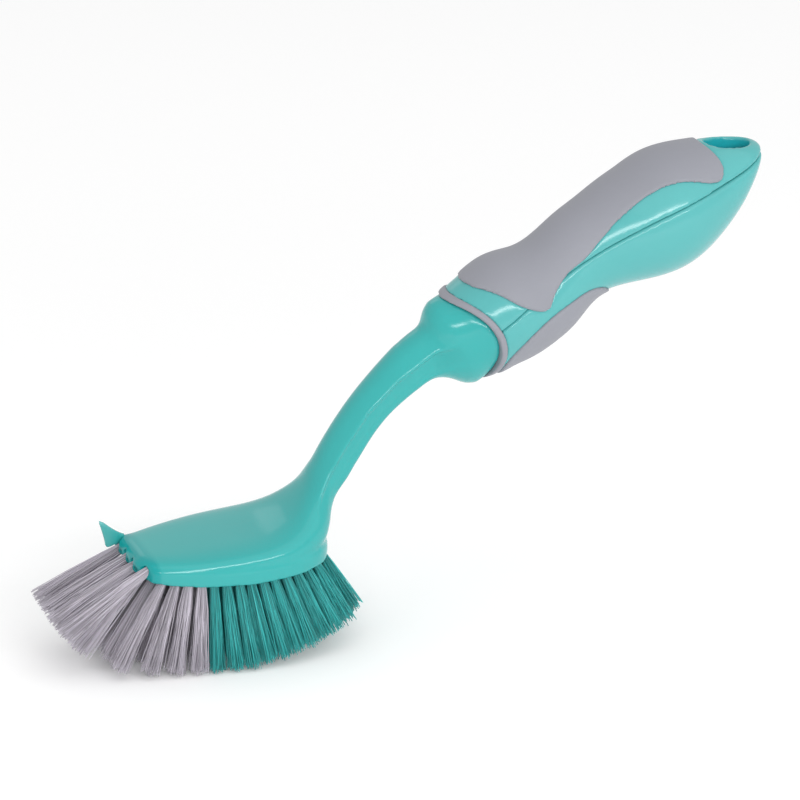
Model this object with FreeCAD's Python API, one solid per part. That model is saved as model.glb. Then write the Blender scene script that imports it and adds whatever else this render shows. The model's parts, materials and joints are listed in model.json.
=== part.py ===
import FreeCAD, Part
import math
import os

os.makedirs("parts", exist_ok=True)

Vec = FreeCAD.Vector

# Head and neck, millimetres and degrees
head_length = 65.0
head_half_width = 22.8
head_band_bottom = -8.6
head_band_height = 4.8
head_corner_radius = 2.0
head_rocker_radius = 330.0
neck_run = 44.4
neck_rise = 57.6
neck_half_height = 6.5

# Scraper horn on one front corner
scraper_thickness = 1.4
scraper_reach = 9.2
scraper_rise = 6.0
scraper_inset = 0.6

# Handle, its shells and its hanging hole
handle_angle = 27.6
handle_length = 117.4
grip_radius = 19.7
handle_wall = 2.6
seam_width = 0.5
seam_depth = 0.5
hole_length = 15.5
hole_width = 12.0

# Soft pads and the collar between neck and handle
pad_depth = 1.4
pad_proud = 0.35
saddle_radius = 18.0
rim_thickness = 1.8
rim_depth = 3.0
bell_radius = 15.6
bell_length = 15.0
tang_radius = 6.2
tang_length = 34.0

# Tufts and their anchors
tuft_hole_radius = 1.25
tuft_hole_depth = 4.2
tuft_free_length = 28.4
grey_tip_radius = 3.0
teal_tip_radius = 2.45
tuft_sides = 9
tuft_pitch = 7.4
first_row_x = 3.9
last_row_inset = 5.7
bottom_row_count = 15
grey_bottom_rows = 4
tuft_edge_margin = 2.9
splay_angle = 11.0
front_row_lean = -32.0
middle_row_lean = -8.0
rear_row_lean = 28.0
anchor_thickness = 0.4
anchor_height = 1.7

overrun = 60.0


# Shared helpers
def spline(points):
    curve = Part.BSplineCurve()
    curve.interpolate(points)
    return curve.toShape()


def ring_wire(points):
    curve = Part.BSplineCurve()
    even_steps = list(range(len(points) + 1))
    curve.interpolate(points, PeriodicFlag=True, Parameters=even_steps)
    return Part.Wire([curve.toShape()])


def closed_outline(points):
    edges = [Part.makeLine(a, b) for a, b in zip(points, points[1:] + points[:1])]
    return Part.Face(Part.Wire(edges))


def largest(shape):
    return max(shape.Solids, key=lambda solid: solid.Volume)


across = Vec(0, 1, 0)
upward = Vec(0, 0, 1)

# Handle frame: u runs along the handle, w stands up from its axis
handle_tilt = math.radians(handle_angle)
along = Vec(math.cos(handle_tilt), 0, math.sin(handle_tilt))
above = Vec(-math.sin(handle_tilt), 0, math.cos(handle_tilt))
handle_root = Vec(head_length + neck_run, 0, neck_rise)


def on_handle(u, w, y=0.0):
    return handle_root + along * u + above * w + across * y


def side_prism(face):
    face.translate(across * -overrun)
    return face.extrude(across * (2 * overrun))


# Handle outline: station along the length, half width, half height, height of the middle
handle_shares = (
    (-0.170, 0.775, 0.775, 0.010),
    (-0.040, 0.778, 0.778, 0.010),
    (0.017, 0.787, 0.787, 0.008),
    (0.068, 0.842, 0.842, 0.005),
    (0.119, 0.880, 0.880, 0.010),
    (0.170, 0.900, 0.900, 0.003),
    (0.221, 0.862, 0.862, -0.026),
    (0.273, 0.803, 0.800, -0.052),
    (0.324, 0.760, 0.756, 0.000),
    (0.375, 0.738, 0.736, 0.078),
    (0.426, 0.765, 0.762, 0.098),
    (0.477, 0.820, 0.818, 0.062),
    (0.528, 0.893, 0.890, 0.016),
    (0.596, 0.970, 0.967, -0.040),
    (0.664, 1.003, 1.000, -0.055),
    (0.750, 0.938, 0.928, -0.048),
    (0.835, 0.775, 0.735, -0.060),
    (0.903, 0.635, 0.520, -0.040),
    (0.954, 0.475, 0.310, -0.015),
    (0.985, 0.285, 0.150, -0.005),
)
ring_points = 12


def handle_ring(station, half_width, half_height, middle, grow):
    wide = half_width * grip_radius + grow
    high = half_height * grip_radius + grow
    points = []
    for i in range(ring_points):
        turn = 2 * math.pi * i / ring_points
        w = middle * grip_radius + high * math.sin(turn)
        points.append(on_handle(station * handle_length, w, wide * math.cos(turn)))
    return ring_wire(points)


def handle_solid(grow):
    wires = [handle_ring(*row, grow) for row in handle_shares]
    tip = Part.Vertex(on_handle(handle_length + grow, 0))
    return Part.makeLoft(wires + [tip], True, False)


grip_outer = handle_solid(0.0)
pad_outer = handle_solid(pad_proud)
pad_floor = handle_solid(-pad_depth)
rim_floor = handle_solid(-rim_depth)

# Saddle: a round cut across the handle's front, which the rim and the shells follow
saddle_centre_shares = (-0.515, 0.067)
saddle_u, saddle_w = [share * saddle_radius for share in saddle_centre_shares]
rim_radius = saddle_radius + rim_thickness
collar_back = saddle_u + rim_radius


def saddle(radius):
    return Part.makeCylinder(radius, 2 * overrun, on_handle(saddle_u, saddle_w, -overrun), across)


def saddle_slice(solid):
    front = Part.makeCylinder(overrun, overrun, on_handle(saddle_u, 0), along)
    return largest(solid.common(saddle(rim_radius).cut(saddle(saddle_radius)).common(front)))


# Head plan: share of the head's length, share of its half width
plan_shares = (
    (0.000, 0.660),
    (0.123, 0.805),
    (0.246, 0.912),
    (0.400, 0.985),
    (0.554, 1.000),
    (0.700, 0.945),
    (0.820, 0.815),
    (0.902, 0.620),
    (0.948, 0.340),
    (0.966, 0.000),
)


def plan_half_width(x):
    for (x0, w0), (x1, w1) in zip(plan_shares, plan_shares[1:]):
        if x <= x1 * head_length:
            part = (x / head_length - x0) / (x1 - x0)
            return (w0 + (w1 - w0) * part) * head_half_width
    return 0.0


plan_middle = head_length / 2


def underside(x):
    return head_band_bottom + (x - plan_middle) ** 2 / (2 * head_rocker_radius)


near_side = [Vec(x * head_length, -w * head_half_width, 0) for x, w in plan_shares]
far_side = [Vec(p.x, -p.y, 0) for p in reversed(near_side[:-1])]
plan_points = near_side + far_side
plan_edges = [spline(plan_points), Part.makeLine(plan_points[-1], plan_points[0])]
plan_face = Part.Face(Part.Wire(plan_edges))
plan_face.translate(upward * (2 * head_band_bottom))
band = plan_face.extrude(upward * (-2 * head_band_bottom))
front_corners = [edge for edge in band.Edges if edge.BoundBox.ZLength > abs(head_band_bottom)]
band = band.makeFillet(head_corner_radius, front_corners)
rocker_centre = Vec(plan_middle, -overrun, head_band_bottom + head_rocker_radius)
band_radii = (head_rocker_radius, head_rocker_radius - head_band_height)
rockers = [Part.makeCylinder(radius, 2 * overrun, rocker_centre, across) for radius in band_radii]
band = largest(band.common(rockers[0].cut(rockers[1])))

# Head top and neck: place along head, then neck, height, lean, half width, half height, squareness
body_shares = (
    (0.000, -0.049, 0.0, 0.615, 0.490, 3.2),
    (0.200, -0.052, 0.0, 0.855, 0.605, 3.2),
    (0.400, -0.047, 0.0, 0.966, 0.735, 3.1),
    (0.590, -0.036, 3.0, 0.970, 0.850, 2.9),
    (0.768, -0.006, 15.0, 0.862, 1.150, 2.6),
    (0.888, 0.094, 31.0, 0.630, 1.185, 2.4),
    (0.932, 0.202, 45.0, 0.455, 0.920, 2.1),
    (0.972, 0.277, 57.0, 0.375, 0.930, 2.1),
    (1.104, 0.449, 56.0, 0.325, 1.025, 2.0),
    (1.275, 0.632, 50.0, 0.322, 1.030, 2.0),
    (1.500, 0.802, 41.0, 0.338, 1.150, 2.0),
    (1.769, 0.943, 32.0, 0.366, 1.360, 2.0),
    (1.980, 1.002, 28.4, 0.400, 1.430, 2.0),
    (2.119, 1.048, 27.6, 0.430, 1.480, 2.0),
)
body_ring_points = 16
body_ring_count = 36
ring_start_share = 0.25


def body_centre(place, z):
    x = min(place, 1) * head_length + max(place - 1, 0) * neck_run
    return Vec(x, 0, z * neck_rise)


def body_ring(place, z, lean, wide, high, squareness):
    centre = body_centre(place, z)
    up = Vec(-math.sin(math.radians(lean)), 0, math.cos(math.radians(lean)))
    points = []
    for i in range(body_ring_points):
        turn = 2 * math.pi * (i / body_ring_points - ring_start_share)
        c = math.cos(turn)
        s = math.sin(turn)
        y = wide * head_half_width * math.copysign(abs(c) ** (2 / squareness), c)
        n = high * neck_half_height * math.copysign(abs(s) ** (2 / squareness), s)
        points.append(centre + across * y + up * n)
    return ring_wire(points)


def table_curve(rows, travel):
    curve = Part.BSplineCurve()
    curve.interpolate([Vec(*row) for row in rows], Parameters=travel)
    return curve


body_travel = [0.0]
for before, after in zip(body_shares, body_shares[1:]):
    step = body_centre(*before[:2]).distanceToPoint(body_centre(*after[:2]))
    body_travel.append(body_travel[-1] + step)
place_curve = table_curve([row[:3] for row in body_shares], body_travel)
form_curve = table_curve([row[3:] for row in body_shares], body_travel)
body_rings = []
for i in range(body_ring_count + 1):
    t = body_travel[-1] * i / body_ring_count
    body_rings.append(body_ring(*place_curve.value(t), *form_curve.value(t)))
head_and_neck = Part.makeLoft(body_rings, True, False)

# Bell: the neck flares to the handle's size, early above and below and later at the sides
bell_shares = (
    (-1.000, 0.400, 0.440),
    (-0.820, 0.475, 0.480),
    (-0.660, 0.590, 0.535),
    (-0.540, 0.730, 0.590),
    (-0.430, 0.885, 0.640),
    (-0.300, 0.995, 0.700),
    (-0.100, 1.030, 0.775),
    (0.180, 1.015, 0.865),
    (0.460, 1.000, 0.960),
    (0.640, 1.000, 1.000),
    (1.200, 1.000, 1.000),
)


def bell_ring(u, high, wide):
    points = []
    for i in range(ring_points):
        turn = 2 * math.pi * i / ring_points
        w = high * bell_radius * math.sin(turn)
        points.append(on_handle(u * bell_length, w, wide * bell_radius * math.cos(turn)))
    return ring_wire(points)


bell = Part.makeLoft([bell_ring(*row) for row in bell_shares], True, False)
bell = largest(bell.common(saddle(saddle_radius)))

plug = saddle_slice(rim_floor)
tang = Part.makeCylinder(tang_radius, tang_length, on_handle(0, 0), along)
body = head_and_neck.fuse([band, bell, plug, tang])

# Scraper: reach forward and rise from the corner
scraper_top_shares = ((0.30, -0.12), (-0.065, -0.03), (-0.554, 0.45), (-1.03, 1.06))
scraper_front_shares = ((-1.03, 1.06), (-0.830, 0.06), (-0.735, -0.70))
scraper_foot_share = -0.26
horn_y = body_shares[0][3] * head_half_width - scraper_thickness - scraper_inset


def on_horn(x_share, z_share):
    return Vec(x_share * scraper_reach, horn_y, z_share * scraper_rise)


horn_top = [on_horn(*row) for row in scraper_top_shares]
horn_front = [on_horn(*row) for row in scraper_front_shares]
horn_foot = on_horn(scraper_top_shares[0][0], scraper_foot_share)
horn_edges = [
    spline(horn_top),
    spline(horn_front),
    Part.makeLine(horn_front[-1], horn_foot),
    Part.makeLine(horn_foot, horn_top[0]),
]
horn = Part.Face(Part.Wire(horn_edges)).extrude(across * scraper_thickness)
body = body.fuse(horn)

# Tufts: each row leans with the curve of the underside and splays to the sides
front_row_shares = (0.50, 0.77)
front_row_leans = (-62.7, -46.6)
front_length_shares = (1.16, 1.13)
rear_trim_share = 0.23
rear_trim_start_share = 0.42
front_gain_share = 0.07
front_lean_power = 6


def ring(radius, height):
    turns = [2 * math.pi * i / tuft_sides for i in range(tuft_sides)]
    return [Vec(radius * math.cos(turn), radius * math.sin(turn), height) for turn in turns]


def tuft_solid(free_length, tip_radius):
    rings = [
        ring(tuft_hole_radius, anchor_height - tuft_hole_depth),
        ring(tuft_hole_radius, 0),
        ring(tip_radius, free_length),
    ]
    faces = [closed_outline(rings[0]), closed_outline(rings[-1])]
    for lower, upper in zip(rings, rings[1:]):
        for i in range(tuft_sides):
            faces.append(closed_outline([lower[i - 1], lower[i], upper[i], upper[i - 1]]))
    solid = Part.Solid(Part.Shell(faces))
    if solid.Volume < 0:
        solid.reverse()
    return solid


def lean_direction(lean, y):
    lean_turn = math.radians(lean)
    splay_turn = math.radians(splay_angle * y / head_half_width)
    level = math.cos(splay_turn)
    return Vec(math.sin(lean_turn) * level, math.sin(splay_turn), -math.cos(lean_turn) * level)


def row_offsets(half_span, staggered, skipped):
    gaps = max(2, round(2 * half_span / tuft_pitch))
    step = 2 * half_span / gaps
    if not staggered:
        return [step * i - half_span for i in range(gaps + 1)]
    between = [step * (i + 0.5) - half_span for i in range(skipped, gaps - skipped)]
    return [-half_span] * skipped + between + [half_span] * skipped


rows = []
for number, (drop, lean, length) in enumerate(zip(front_row_shares, front_row_leans, front_length_shares)):
    half_span = body_shares[0][3] * head_half_width - 2 * tuft_hole_radius
    placed = []
    for y in row_offsets(half_span, number % 2 == 1, 0):
        placed.append((Vec(0, y, underside(0) * drop), lean_direction(lean, y)))
    rows.append(("grey", placed, length * tuft_free_length, grey_tip_radius))
row_pitch = (head_length - first_row_x - last_row_inset) / (bottom_row_count - 1)
for number in range(bottom_row_count):
    x = first_row_x + number * row_pitch
    part = number / (bottom_row_count - 1)
    lean = middle_row_lean + (rear_row_lean - middle_row_lean) * part
    lean += (front_row_lean - middle_row_lean) * (1 - part) ** front_lean_power
    trim = max(0, part - rear_trim_start_share) / (1 - rear_trim_start_share)
    gain = front_gain_share * (1 - part) ** front_lean_power
    length = tuft_free_length * (1 + gain - rear_trim_share * trim)
    half_span = plan_half_width(x) - tuft_edge_margin
    placed = []
    for y in row_offsets(half_span, number % 2 == 1, 1):
        placed.append((Vec(x, y, underside(x)), lean_direction(lean, y)))
    if number < grey_bottom_rows:
        rows.append(("grey", placed, length, grey_tip_radius))
    else:
        rows.append(("teal", placed, length, teal_tip_radius))

anchors = []
holes = []
row_shapes = []
plate_half = math.sqrt(tuft_hole_radius ** 2 - (anchor_thickness / 2) ** 2)
plate_corner = Vec(-plate_half, -anchor_thickness / 2, -tuft_hole_depth)
for colour, placed, free_length, tip_radius in rows:
    tufts = []
    for root, direction in placed:
        place = FreeCAD.Placement(root, FreeCAD.Rotation(upward, direction)).toMatrix()
        drill = Part.makeCylinder(tuft_hole_radius, 2 * tuft_hole_depth, upward * -tuft_hole_depth)
        holes.append(drill.transformed(place))
        tufts.append(tuft_solid(free_length, tip_radius).transformed(place))
        plate = Part.makeBox(2 * plate_half, anchor_thickness, anchor_height, plate_corner)
        anchors.append(plate.transformed(place))
    row_shapes.append((colour, Part.makeCompound(tufts)))
body = largest(body.cut(holes))
print("tufts", len(holes), "body", body.isValid(), body.Volume)

# Handle shells, split along the seam and hollow between the tang and the hanging hole
seam_shares = (
    (-0.220, -0.060), (0.000, 0.015), (0.094, 0.091), (0.187, 0.188), (0.298, 0.234), (0.417, 0.269),
    (0.528, 0.284), (0.630, 0.259), (0.758, 0.157), (0.835, 0.071), (0.911, 0.000), (1.080, -0.030),
)
cavity_shares = (0.34, 0.77)
hole_share = 0.89
seam_points = [on_handle(u * handle_length, w * grip_radius) for u, w in seam_shares]


def over_curve(points):
    start = points[0] + above * (2 * grip_radius)
    end = points[-1] + above * (2 * grip_radius)
    edges = [spline(points)]
    for a, b in ((points[-1], end), (end, start), (start, points[0])):
        edges.append(Part.makeLine(a, b))
    return side_prism(Part.Face(Part.Wire(edges)))


over_seam = over_curve(seam_points)
groove = over_curve([p - above * (seam_width / 2) for p in seam_points])
groove = groove.cut(over_curve([p + above * (seam_width / 2) for p in seam_points]))
groove = groove.cut(handle_solid(-seam_depth))

# Pads: share of the length behind the collar, height as a share of the grip
top_pad_shares = (
    (-0.024, 1.250), (-0.013, 0.890), (0.004, 0.822), (0.031, 0.721), (0.065, 0.518),
    (0.088, 0.320), (0.111, 0.168), (0.138, 0.030), (0.162, -0.005), (0.180, 0.061),
    (0.218, 0.183), (0.268, 0.280), (0.328, 0.325), (0.393, 0.447), (0.461, 0.563), (0.572, 0.660),
    (0.674, 0.619), (0.730, 0.477), (0.782, 0.264), (0.813, 0.203), (0.836, 0.284), (0.843, 0.477),
    (0.830, 0.685), (0.814, 0.863), (0.809, 1.250),
)
low_pad_shares = (
    (-0.055, -1.200), (-0.050, -0.740), (-0.030, -0.584), (0.031, -0.381), (0.088, -0.264),
    (0.156, -0.208), (0.239, -0.213), (0.306, -0.259), (0.345, -0.386), (0.364, -0.584),
    (0.369, -0.812), (0.369, -1.200),
)


def pad_prism(shares):
    behind = handle_length - collar_back
    points = [on_handle(collar_back + u * behind, w * grip_radius) for u, w in shares]
    edges = [spline(points), Part.makeLine(points[-1], points[0])]
    return side_prism(Part.Face(Part.Wire(edges)))


top_prism = pad_prism(top_pad_shares)
low_prism = pad_prism(low_pad_shares)
pad_layer = pad_outer.cut(pad_floor)
top_grip = largest(pad_layer.common(top_prism))
low_grip = largest(pad_layer.common(low_prism))
print("grips", top_grip.isValid(), low_grip.isValid())

cavity_ends = [share * handle_length for share in cavity_shares]
cavity_box = side_prism(closed_outline([
    on_handle(cavity_ends[0], -2 * grip_radius),
    on_handle(cavity_ends[1], -2 * grip_radius),
    on_handle(cavity_ends[1], 2 * grip_radius),
    on_handle(cavity_ends[0], 2 * grip_radius),
]))
cavity = handle_solid(-handle_wall - pad_depth).common(cavity_box)
hole_foot = on_handle(hole_share * handle_length, 0) - upward * overrun
hole_outline = Part.Ellipse(hole_foot, hole_length / 2, hole_width / 2).toShape()
hanging_hole = Part.Face(Part.Wire([hole_outline])).extrude(upward * (2 * overrun))
grip = largest(grip_outer.cut(saddle(rim_radius)))
grip = grip.cut([cavity, tang, hanging_hole, groove, top_prism.cut(pad_floor), low_prism.cut(pad_floor)])
upper_shell = largest(grip.common(over_seam))
lower_shell = largest(grip.cut(over_seam))
print("shells", upper_shell.isValid(), lower_shell.isValid())
rim = largest(saddle_slice(pad_outer).cut(rim_floor))
print("rim", rim.isValid())

pieces = {
    "brush_body": body,
    "handle_upper_shell": upper_shell,
    "handle_lower_shell": lower_shell,
    "top_grip": top_grip,
    "bottom_grip": low_grip,
    "collar_rim": rim,
    "tuft_anchors": Part.makeCompound(anchors),
}
counts = {"grey": 0, "teal": 0}
for colour, shape in row_shapes:
    counts[colour] += 1
    pieces[colour + "_tuft_row_" + str(counts[colour])] = shape

everything = Part.makeCompound(list(pieces.values())).optimalBoundingBox()
home = Vec(-everything.Center.x, -everything.Center.y, -everything.ZMin)
print("home", home, "size", everything.XLength, everything.YLength, everything.ZLength)
print("hanging hole", on_handle(hole_share * handle_length, 0) + home)
for name, shape in pieces.items():
    moved = shape.copy()
    moved.translate(home)
    moved.exportStep("parts/" + name + ".step")
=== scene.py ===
import json
import math
import random

import bmesh
import bpy
import numpy as np
from mathutils import Matrix, Vector

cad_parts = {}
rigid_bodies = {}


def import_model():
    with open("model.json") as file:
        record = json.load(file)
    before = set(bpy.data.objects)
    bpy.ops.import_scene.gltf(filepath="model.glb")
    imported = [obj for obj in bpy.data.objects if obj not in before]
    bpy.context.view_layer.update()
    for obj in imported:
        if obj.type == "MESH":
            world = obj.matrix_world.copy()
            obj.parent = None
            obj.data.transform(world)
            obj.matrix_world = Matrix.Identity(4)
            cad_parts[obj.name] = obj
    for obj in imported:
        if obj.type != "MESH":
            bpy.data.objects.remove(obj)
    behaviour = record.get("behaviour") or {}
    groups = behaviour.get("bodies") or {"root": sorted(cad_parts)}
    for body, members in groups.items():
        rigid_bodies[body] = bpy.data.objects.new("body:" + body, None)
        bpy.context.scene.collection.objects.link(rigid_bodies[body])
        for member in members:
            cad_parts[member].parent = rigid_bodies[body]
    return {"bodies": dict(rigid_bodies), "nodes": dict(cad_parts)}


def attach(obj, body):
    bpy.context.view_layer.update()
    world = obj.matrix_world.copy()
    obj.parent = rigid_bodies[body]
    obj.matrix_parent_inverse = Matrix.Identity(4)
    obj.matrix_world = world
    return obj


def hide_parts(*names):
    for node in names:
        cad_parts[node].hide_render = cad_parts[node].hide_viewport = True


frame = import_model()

nodes = frame["nodes"]
kept = set(nodes.values()) | set(frame["bodies"].values())
for leftover in [o for o in bpy.data.objects if o not in kept]:
    bpy.data.objects.remove(leftover)  # the startup file's own objects
scene = bpy.context.scene
scene.view_settings.view_transform = "Standard"
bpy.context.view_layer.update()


# a shader socket that can be used in plain sums
class Wire:
    def __init__(self, tree, socket=None):
        self.tree = tree
        self.socket = socket

    def node(self, kind, settings, values, out=0):
        made = self.tree.nodes.new("ShaderNode" + kind)
        for name, value in settings.items():
            if name == "stops":
                elements = made.color_ramp.elements
                while len(elements) < len(value):
                    elements.new(1.0)
                for element, (place, colour) in zip(elements, value):
                    element.position = place
                    element.color = colour
            else:
                setattr(made, name, value)
        for name, value in values.items():
            if isinstance(value, Wire):
                self.tree.links.new(value.socket, made.inputs[name])
            else:
                made.inputs[name].default_value = value
        return Wire(self.tree, made.outputs[out] if made.outputs else None)

    def math(self, operation, a, b):
        return self.node("Math", {"operation": operation}, {0: a, 1: b})

    def __add__(self, other):
        return self.math("ADD", self, other)

    def __sub__(self, other):
        return self.math("SUBTRACT", self, other)

    def __rsub__(self, other):
        return self.math("SUBTRACT", other, self)

    def __mul__(self, other):
        return self.math("MULTIPLY", self, other)

    __radd__ = __add__
    __rmul__ = __mul__


def rgba(colour, gain=1.0):
    return (*[min(1.0, c * gain) for c in colour], 1.0)


def newMaterial(name):
    made = bpy.data.materials.new(name)
    made.use_nodes = True
    tree = made.node_tree
    tree.nodes.clear()
    return made, Wire(tree)


def closeMaterial(start, values):
    shader = start.node("BsdfPrincipled", {}, values)
    start.node("OutputMaterial", {}, {"Surface": shader})


# the Mix node names its sockets alike for each type: 6 and 7 take colours, 2 gives one
def mixColour(start, factor, a, b, blend="MIX"):
    settings = {"data_type": "RGBA", "blend_type": blend}
    return start.node("Mix", settings, {0: factor, 6: a, 7: b}, out=2)


def ownPlace(start):
    return start.node("TexCoord", {}, {}, out="Object")


def noise(start, place, scale, detail):
    return start.node("TexNoise", {}, {"Vector": place, "Scale": scale, "Detail": detail})


def bump(start, height, strength, distance):
    values = {"Strength": strength, "Distance": distance, "Height": height}
    return start.node("Bump", {}, values)


# output 2 is the attribute as a plain number
def vertexValue(start, name):
    return start.node("Attribute", {"attribute_name": name}, {}, out=2)


# glossy moulded teal: faint flow clouds, orange peel, fine scuffs, and painted light: paler where
# the horn is thin, as though lit through from behind; painted shade with bounce light: darker,
# fuller on the chin's front wall and in the hanging hole
mouldedTeal = {
    "colour": (0.030, 0.372, 0.362), "paintedBacklightColour": (0.09, 0.43, 0.42),
    "paintedBacklightFrom": -0.0945, "paintedBacklightRun": 0.003, "paintedShadeColour": (0.0, 0.31, 0.31),
    "cloudScale": 38.0, "cloudDetail": 3.0, "cloudGain": (0.96, 1.04),
    "peelScale": 620.0, "peelDetail": 1.0, "peelHeight": 0.00003, "peelStrength": 0.35,
    "scuffScale": 210.0, "scuffDetail": 4.0, "scuff": 0.06, "roughness": 0.15, "ior": 1.49,
}
paleTeal = {**mouldedTeal, "colour": (0.086, 0.400, 0.398), "paintedShadeColour": (0.0, 0.37, 0.43)}


def plasticMaterial(name, look):
    made, start = newMaterial(name)
    place = ownPlace(start)
    clouds = noise(start, place, look["cloudScale"], look["cloudDetail"])
    low, high = look["cloudGain"]
    colour = mixColour(start, clouds, rgba(look["colour"], low), rgba(look["colour"], high))
    # painted backlight: paler towards the horn's tip, as though light shone through the thin
    # plastic
    forward = start.node("SeparateXYZ", {}, {"Vector": place}, out="X")
    pastHorn = (look["paintedBacklightFrom"] - forward) * (1 / look["paintedBacklightRun"])
    paintedBacklight = start.node("Clamp", {}, {"Value": pastHorn})
    colour = mixColour(start, paintedBacklight, colour, rgba(look["paintedBacklightColour"]))
    # painted shade and bounce light: a darker, fuller teal where the vertices are marked
    colour = mixColour(start, vertexValue(start, "deep"), colour, rgba(look["paintedShadeColour"]))
    scuffs = noise(start, place, look["scuffScale"], look["scuffDetail"])
    rough = look["roughness"] + (scuffs - 0.5) * look["scuff"]
    peel = noise(start, place, look["peelScale"], look["peelDetail"])
    closeMaterial(start, {
        "Base Color": colour, "Roughness": rough, "IOR": look["ior"],
        "Normal": bump(start, peel, look["peelStrength"], look["peelHeight"]),
    })
    return made


# soft matte grips: cooler grey with a fine sandblast grain
softGrey = {
    "colour": (0.262, 0.268, 0.304),
    "cloudScale": 55.0, "cloudDetail": 5.0, "cloudGain": (0.96, 1.04),
    "grainScale": 2600.0, "grainDetail": 2.0, "grainHeight": 0.00005, "grainStrength": 0.5,
    "roughness": 0.62, "scuff": 0.12, "sheen": 0.08,
}


def gripMaterial(name, look):
    made, start = newMaterial(name)
    place = ownPlace(start)
    clouds = noise(start, place, look["cloudScale"], look["cloudDetail"])
    low, high = look["cloudGain"]
    colour = mixColour(start, clouds, rgba(look["colour"], low), rgba(look["colour"], high))
    rough = look["roughness"] + (clouds - 0.5) * look["scuff"]
    grain = noise(start, place, look["grainScale"], look["grainDetail"])
    closeMaterial(start, {
        "Base Color": colour, "Roughness": rough, "Sheen Weight": look["sheen"],
        "Normal": bump(start, grain, look["grainStrength"], look["grainHeight"]),
    })
    return made


# filaments: a tone for each strand, and painted shade that darkens them near the root
greyStrand = {
    "colour": (0.560, 0.525, 0.592), "spread": (0.60, 1.30),
    "rootShadeGain": 0.80, "middle": 0.35, "middleShadeGain": 0.95,
    "roughness": 0.45, "roughSpread": 0.2, "ior": 1.5,
}
tealStrand = {
    **greyStrand, "colour": (0.038, 0.400, 0.390), "spread": (0.58, 1.40),
    "rootShadeGain": 0.70, "roughness": 0.38,
}


def strandMaterial(name, look):
    made, start = newMaterial(name)
    tone = vertexValue(start, "tone")
    reach = vertexValue(start, "reach")
    low, high = look["spread"]
    strand = mixColour(start, tone, rgba(look["colour"], low), rgba(look["colour"], high))
    # painted shade: darker near the root, where the tufts crowd under the head
    gains = [(0.0, look["rootShadeGain"]), (look["middle"], look["middleShadeGain"]), (1.0, 1.0)]
    stops = [(place, rgba((gain,) * 3)) for place, gain in gains]
    shade = start.node("ValToRGB", {"stops": stops}, {"Fac": reach})
    colour = mixColour(start, 1.0, strand, shade, "MULTIPLY")
    rough = look["roughness"] + (tone - 0.5) * look["roughSpread"]
    closeMaterial(start, {"Base Color": colour, "Roughness": rough, "IOR": look["ior"]})
    return made


# stamped plates, hidden at the bottom of the tuft holes
plateBrass = {
    "colour": (0.75, 0.60, 0.30), "gain": (0.85, 1.1),
    "grainScale": 900.0, "grainDetail": 3.0, "roughness": 0.35, "roughSpread": 0.1,
}


def plateMaterial(name, look):
    made, start = newMaterial(name)
    grain = noise(start, ownPlace(start), look["grainScale"], look["grainDetail"])
    low, high = look["gain"]
    colour = mixColour(start, grain, rgba(look["colour"], low), rgba(look["colour"], high))
    rough = look["roughness"] + grain * look["roughSpread"]
    closeMaterial(start, {"Base Color": colour, "Metallic": 1.0, "Roughness": rough})
    return made


bodyPlastic = plasticMaterial("bodyPlastic", mouldedTeal)
shellPlastic = plasticMaterial("shellPlastic", paleTeal)
gripRubber = gripMaterial("gripRubber", softGrey)
greyFilament = strandMaterial("greyFilament", greyStrand)
tealFilament = strandMaterial("tealFilament", tealStrand)
anchorBrass = plateMaterial("anchorBrass", plateBrass)
nodes["tuft_anchors"].data.materials.clear()
nodes["tuft_anchors"].data.materials.append(anchorBrass)
print("materials ready")


def addPiece(name, bm, finish, slotName, *replaced):
    mesh = bpy.data.meshes.new(name)
    bm.to_mesh(mesh)
    bm.free()
    mesh.materials.append(finish)
    mesh.shade_smooth()
    piece = bpy.data.objects.new(name, mesh)
    scene.collection.objects.link(piece)
    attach(piece, "root")
    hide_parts(*replaced)


easing = {"weld": 0.000002, "factor": 0.5}


def weldedCopy(source):
    bm = bmesh.new()
    bm.from_mesh(source.data)
    bmesh.ops.remove_doubles(bm, verts=bm.verts, dist=easing["weld"])
    return bm


# a fine even mesh over a solid and the blocks added to it
def evenCopy(source, voxel, blocks=()):
    bm = weldedCopy(source)
    for block in blocks:
        bmesh.ops.create_cube(bm, size=1.0, matrix=block)
    mesh = bpy.data.meshes.new(source.name + "Blank")
    bm.to_mesh(mesh)
    bm.free()
    blank = bpy.data.objects.new(mesh.name, mesh)
    scene.collection.objects.link(blank)
    remesh = blank.modifiers.new("voxels", "REMESH")
    remesh.mode = "VOXEL"
    remesh.voxel_size = voxel
    graph = bpy.context.evaluated_depsgraph_get()
    bm = bmesh.new()
    bm.from_mesh(blank.evaluated_get(graph).to_mesh())
    bpy.data.objects.remove(blank)
    return bm


def ease(bm, verts, rounds):
    axes = {"use_axis_x": True, "use_axis_y": True, "use_axis_z": True}
    for _ in range(rounds):
        bmesh.ops.smooth_vert(bm, verts=verts, factor=easing["factor"], **axes)


# how much painted shade each vertex takes
def markPaintedShade(bm, shares):
    deep = bm.verts.layers.float.new("deep")
    for vert, share in zip(bm.verts, shares):
        vert[deep] = share


# soft pads: a little swollen, so that they fill their recesses
pads = {
    "top_grip": {"name": "topGrip", "voxel": 0.00042, "rounds": 3, "swell": 0.00034},
    "bottom_grip": {"name": "bottomGrip", "voxel": 0.00042, "rounds": 3, "swell": 0.00034},
    "collar_rim": {"name": "collarRim", "voxel": 0.00028, "rounds": 9, "swell": 0.00018},
}
for nodeName, look in pads.items():
    bm = evenCopy(nodes[nodeName], look["voxel"])
    ease(bm, bm.verts, look["rounds"])
    bm.normal_update()
    for vert in bm.verts:
        vert.co += vert.normal * look["swell"]
    addPiece(look["name"], bm, gripRubber, "soft_grip", nodeName)
print("soft pads rounded")


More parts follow.
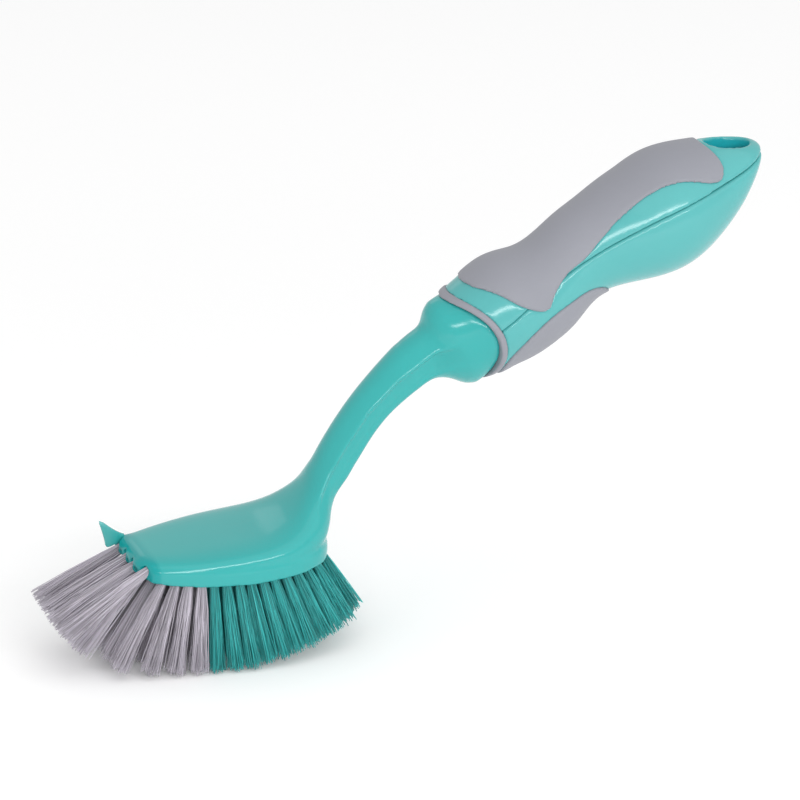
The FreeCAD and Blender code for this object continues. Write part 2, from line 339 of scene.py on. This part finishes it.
# handle shells: the seam's lips and the mouth of the hanging hole are eased
shells = {
    "handle_upper_shell": {"name": "upperShell", "voxel": 0.0005, "rounds": 3, "lined": False},
    "handle_lower_shell": {"name": "lowerShell", "voxel": 0.0005, "rounds": 3, "lined": True},
}
mouth = {
    "from": 0.0985, "rounds": 10, "middle": 0.11047, "reach": (0.00775, 0.0060),
    "rim": 1.04, "run": 0.06,
}
# a wall between the hole and the hollow of the lower shell
lining = {"turns": range(138, 223, 7), "size": (0.0018, 0.0020, 0.0082), "height": 0.1249}


def liningBlocks(look):
    length, width = mouth["reach"]
    thick = look["size"][0]
    for turn in look["turns"]:
        ahead, across = math.cos(math.radians(turn)), math.sin(math.radians(turn))
        outward = Vector((ahead / length, across / width, 0)).normalized()
        edge = Vector((mouth["middle"] + length * ahead, width * across, look["height"]))
        place = Matrix.Translation(edge + outward * (thick / 2))
        facing = Matrix.Rotation(math.atan2(outward.y, outward.x), 4, "Z")
        yield place @ facing @ Matrix.Diagonal((*look["size"], 1))


for nodeName, look in shells.items():
    bm = evenCopy(nodes[nodeName], look["voxel"], liningBlocks(lining) if look["lined"] else ())
    ease(bm, bm.verts, look["rounds"])
    ease(bm, [vert for vert in bm.verts if vert.co.x > mouth["from"]], mouth["rounds"])
    points = np.array([vert.co for vert in bm.verts])
    length, width = mouth["reach"]
    ring = np.hypot((points[:, 0] - mouth["middle"]) / length, points[:, 1] / width)
    # painted shade and bounce light inside the hanging hole, fading out at its mouth
    markPaintedShade(bm, np.clip((mouth["rim"] - ring) / mouth["run"], 0.0, 1.0))
    addPiece(look["name"], bm, shellPlastic, "shell_plastic", nodeName)
print("shells eased")


# moulded body: eased edges, and a flute along each side of the neck under a fine ridge
body = {
    "voxel": 0.00055, "rounds": 5, "hornFrom": -0.0919, "neckFrom": 0.042, "neckRounds": 12,
    "handleRoot": (0.01787, 0.09479), "handleAlong": (0.8862, 0.4633),
    "bellZone": (-0.019, -0.003), "bellRounds": 36,
    "ledgeZone": ((-0.0895, -0.024), (0.0305, 0.0400)), "ledgeRounds": 6, "lastRounds": 1,
}
flute = {
    "line": (
        (-0.0338, 0.0426), (-0.0310, 0.0488), (-0.0284, 0.0531), (-0.0219, 0.0631),
        (-0.0143, 0.0736), (-0.0043, 0.0834), (0.0076, 0.0915), (0.0170, 0.0949),
    ),
    "height": 0.0018, "lip": 0.0006, "floor": (0.0040, 0.0080), "depth": 0.0019,
    "bead": 0.00080, "beadRun": 0.0017, "fade": 0.012, "least": 0.45,
}


def softStep(values, low, high):
    share = np.clip((values - low) / (high - low), 0.0, 1.0)
    return share * share * (3 - 2 * share)


def carveFlute(bm, look):
    points = np.array([vert.co for vert in bm.verts])
    flat = points[:, (0, 2)]
    line = np.array(look["line"])
    steps = np.diff(line, axis=0)
    lengths = np.linalg.norm(steps, axis=1)
    before = np.concatenate(([0.0], np.cumsum(lengths)))
    # how far each vertex lies from the line, above it and along it
    nearest = np.full(len(points), 1.0)
    rise = np.zeros(len(points))
    travel = np.zeros(len(points))
    for begin, step, length, soFar in zip(line, steps, lengths, before):
        ahead = step / length
        reach = np.clip((flat - begin) @ ahead, 0.0, length)
        away = np.linalg.norm(flat - begin - np.outer(reach, ahead), axis=1)
        closer = away < nearest
        nearest[closer] = away[closer]
        rise[closer] = ((flat - begin) @ np.array((-ahead[1], ahead[0])))[closer]
        travel[closer] = (soFar + reach)[closer]
    below = look["height"] - rise
    ends = softStep(travel, 0.0, look["fade"]) * softStep(before[-1] - travel, 0.0, look["fade"])
    hollow = softStep(below, -look["lip"], look["lip"]) * (1 - softStep(below, *look["floor"]))
    bead = np.exp(-((below + look["lip"]) / look["beadRun"]) ** 2)
    wide = np.abs(points[:, 1])
    moved = wide + ends * (look["bead"] * bead - look["depth"] * hollow)
    moved = np.maximum(moved, wide * look["least"])
    for vert, wanted in zip(bm.verts, np.copysign(moved, points[:, 1])):
        vert.co.y = wanted


# the front wall swells into a chin, where the first rows of tufts stand
chin = {
    "from": 0.0880, "full": 0.0905, "top": (-0.0388, -0.0345), "foot": (-0.0318, -0.0295),
    "side": (-0.0150, -0.0070), "swell": 0.0036, "paintedShadeGain": 3, "rounds": 8,
}


def swellChin(bm, look):
    points = np.array([vert.co for vert in bm.verts])
    ahead = softStep(-points[:, 0], look["from"], look["full"])
    ahead = ahead * (points[:, 0] > body["hornFrom"])
    drop = softStep(-points[:, 2], *look["top"]) * (1 - softStep(-points[:, 2], *look["foot"]))
    shares = ahead * drop
    moves = look["swell"] * shares * softStep(points[:, 1], *look["side"])
    for vert, move in zip(bm.verts, moves):
        vert.co.x -= move
    # painted shade on the chin's front wall, which faces away from the lamps
    markPaintedShade(bm, np.clip(look["paintedShadeGain"] * shares, 0.0, 1.0))
    ease(bm, [vert for vert, share in zip(bm.verts, shares) if share > 0], look["rounds"])


bm = evenCopy(nodes["brush_body"], body["voxel"])
ease(bm, [vert for vert in bm.verts if vert.co.x > body["hornFrom"]], body["rounds"])
ease(bm, [vert for vert in bm.verts if vert.co.z > body["neckFrom"]], body["neckRounds"])
rootX, rootZ = body["handleRoot"]
alongX, alongZ = body["handleAlong"]
bellLow, bellHigh = body["bellZone"]
bellVerts = []
for vert in bm.verts:
    along = (vert.co.x - rootX) * alongX + (vert.co.z - rootZ) * alongZ
    if bellLow < along < bellHigh:
        bellVerts.append(vert)
ease(bm, bellVerts, body["bellRounds"])
(ledgeLeft, ledgeRight), (ledgeLow, ledgeHigh) = body["ledgeZone"]
ledgeVerts = [
    vert for vert in bm.verts
    if ledgeLeft < vert.co.x < ledgeRight and ledgeLow < vert.co.z < ledgeHigh
]
ease(bm, ledgeVerts, body["ledgeRounds"])
carveFlute(bm, flute)
ease(bm, [vert for vert in bm.verts if vert.co.x > body["hornFrom"]], body["lastRounds"])
swellChin(bm, chin)
addPiece("brushBody", bm, bodyPlastic, "body_plastic", "brush_body")
print("body eased and fluted")


# bristles: each tuft keeps the place and reach of its solid
bristle = {
    "seed": 11, "strands": 160, "radius": 0.000122, "sides": 4, "steps": 3, "endShare": 0.02,
    "packing": 0.92, "flare": 1.36, "outward": (0.8, 1.08), "stray": 0.05, "strayReach": 1.25,
    "bow": 0.0005, "ragged": (-0.0032, 0.0008), "sag": 0.0026,
}


def tuftAxes(source, look):
    bm = weldedCopy(source)
    seen = set()
    tufts = []
    for first in bm.verts:
        if first in seen:
            continue
        island = [first]
        seen.add(first)
        for vert in island:
            for edge in vert.link_edges:
                other = edge.other_vert(vert)
                if other not in seen:
                    seen.add(other)
                    island.append(other)
        points = np.array([vert.co for vert in island])
        middle = points.mean(axis=0)
        axis = np.linalg.svd(points - middle, full_matrices=False)[2][0]
        if axis[2] > 0:
            axis = -axis
        heights = (points - middle) @ axis
        wide = np.linalg.norm(points - middle - np.outer(heights, axis), axis=1)
        low, high = heights.min(), heights.max()
        end = (high - low) * look["endShare"]
        along = Vector(axis)
        side = along.orthogonal().normalized()
        tufts.append({
            "start": Vector(middle + axis * low), "length": high - low,
            "axis": along, "side": side, "up": along.cross(side),
            "root": wide[heights < low + end].max(), "tip": wide[heights > high - end].max(),
        })
    bm.free()
    return tufts


# where a strand stands in its tuft, and how it bows out of it
def strandPath(tuft, dice, look):
    start, axis = tuft["start"], tuft["axis"]

    def spoke(angle):
        return tuft["side"] * math.cos(angle) + tuft["up"] * math.sin(angle)

    turn = dice.uniform(0, 2 * math.pi)
    ring = math.sqrt(dice.random())
    inner = spoke(turn) * ring * tuft["root"] * look["packing"]
    astray = dice.random() < look["stray"]
    outward = look["flare"] * (look["strayReach"] if astray else dice.uniform(*look["outward"]))
    outer = spoke(turn) * ring * tuft["tip"] * outward
    bowTurn = dice.uniform(0, 2 * math.pi)
    bow = spoke(bowTurn) * dice.uniform(0, look["bow"])
    sag = look["sag"] * min(0.0, axis.x) ** 2
    longest = (start.z + outer.z - sag - look["radius"]) / -axis.z  # trimmed level with the table
    reach = min(longest, tuft["length"] + dice.uniform(*look["ragged"]))

    def at(share):
        across = inner.lerp(outer, share) + bow * math.sin(math.pi * share)
        return across + axis * (reach * share) - Vector((0, 0, sag * share ** 2))
    return at


def tuftRow(name, source, finish, slotName, look, dice):
    bm = bmesh.new()
    tone = bm.verts.layers.float.new("tone")
    share = bm.verts.layers.float.new("reach")
    faces = []
    paths = []
    for tuft in tuftAxes(source, look):
        turned = tuft["axis"].to_track_quat("Z", "Y").to_matrix().to_4x4()
        for _ in range(look["strands"]):
            path = strandPath(tuft, dice, look)
            foot = tuft["start"] + path(0.0)
            made = bmesh.ops.create_circle(
                bm, cap_ends=True, segments=look["sides"], radius=look["radius"],
                matrix=Matrix.Translation(foot) @ turned,
            )
            strandTone = dice.random()
            for vert in made["verts"]:
                vert[tone] = strandTone
            faces.append(made["verts"][0].link_faces[0])
            paths.append(path)
    for step in range(1, look["steps"] + 1):
        before = (step - 1) / look["steps"]
        after = step / look["steps"]
        faces = bmesh.ops.extrude_discrete_faces(bm, faces=faces)["faces"]
        for face, path in zip(faces, paths):
            move = path(after) - path(before)
            for vert in face.verts:
                vert.co += move
                vert[share] = after
    bmesh.ops.recalc_face_normals(bm, faces=bm.faces)
    addPiece(name, bm, finish, slotName, source.name)


dice = random.Random(bristle["seed"])
for nodeName in sorted(n for n in nodes if "tuft_row" in n):
    colour, _, _, number = nodeName.split("_")
    finish = greyFilament if colour == "grey" else tealFilament
    name = colour + "Bristles" + number
    tuftRow(name, nodes[nodeName], finish, colour + "_bristle", bristle, dice)
print("bristles planted")


# pale sweep under soft studio light
studio = {
    "world": 0.78,
    "floor": {"colour": (0.985, 0.985, 0.985), "half": 4.0, "roughness": 0.8, "specular": 0.1},
    "lift": 0.06,
    "key": {"place": (0.45, -0.75, 1.25), "size": (2.2, 2.2), "watts": 6.5},
    "strip": {"place": (-0.06, -1.0, 0.46), "size": (1.12, 0.13), "watts": 4.6},
    "back": {"place": (-0.12, 0.95, 0.62), "size": (0.35, 0.30), "watts": 0.15},
}
white = (1, 1, 1, 1)
target = Vector((-0.002227, 0.0, 0.075890))

look = studio["floor"]
bm = bmesh.new()
bmesh.ops.create_grid(bm, x_segments=1, y_segments=1, size=look["half"])
floorMesh = bpy.data.meshes.new("floor")
bm.to_mesh(floorMesh)
bm.free()
floor = bpy.data.objects.new("floor", floorMesh)
scene.collection.objects.link(floor)
floorFinish, start = newMaterial("paleFloor")
closeMaterial(start, {
    "Base Color": rgba(look["colour"]), "Roughness": look["roughness"],
    "Specular IOR Level": look["specular"],
    "Emission Color": white, "Emission Strength": studio["lift"],
})
floorMesh.materials.append(floorFinish)

# the camera sees a white sky, the brush a dimmer one
world = bpy.data.worlds.new("studio")
world.use_nodes = True
world.node_tree.nodes.clear()
scene.world = world
start = Wire(world.node_tree)
seen = start.node("LightPath", {}, {}, out="Is Camera Ray")
strength = studio["world"] + (1 - studio["world"]) * seen
sky = start.node("Background", {}, {"Color": white, "Strength": strength})
start.node("OutputWorld", {}, {"Surface": sky})

for name in ("key", "strip", "back"):
    look = studio[name]
    lamp = bpy.data.lights.new(name, "AREA")
    lamp.shape = "RECTANGLE"
    lamp.size, lamp.size_y = look["size"]
    lamp.energy = look["watts"]
    holder = bpy.data.objects.new(name, lamp)
    holder.location = look["place"]
    holder.rotation_euler = (target - holder.location).to_track_quat("-Z", "Y").to_euler()
    scene.collection.objects.link(holder)

view = {
    "azimuth": -20.0, "elevation": 21.0, "lens": 200.0, "sensor": 36.0,
    "width": 0.2581, "clip": 50.0,
}
lens = bpy.data.cameras.new("camera")
lens.lens = view["lens"]
lens.sensor_width = view["sensor"]
lens.clip_end = view["clip"]
eye = bpy.data.objects.new("camera", lens)
turn = math.radians(view["azimuth"])
rise = math.radians(view["elevation"])
level = math.cos(rise)
facing = Vector((math.sin(turn) * level, -math.cos(turn) * level, math.sin(rise)))
eye.location = target + facing * (view["width"] * view["lens"] / view["sensor"])
eye.rotation_euler = (-facing).to_track_quat("-Z", "Y").to_euler()
scene.collection.objects.link(eye)
scene.camera = eye
print("studio lit")
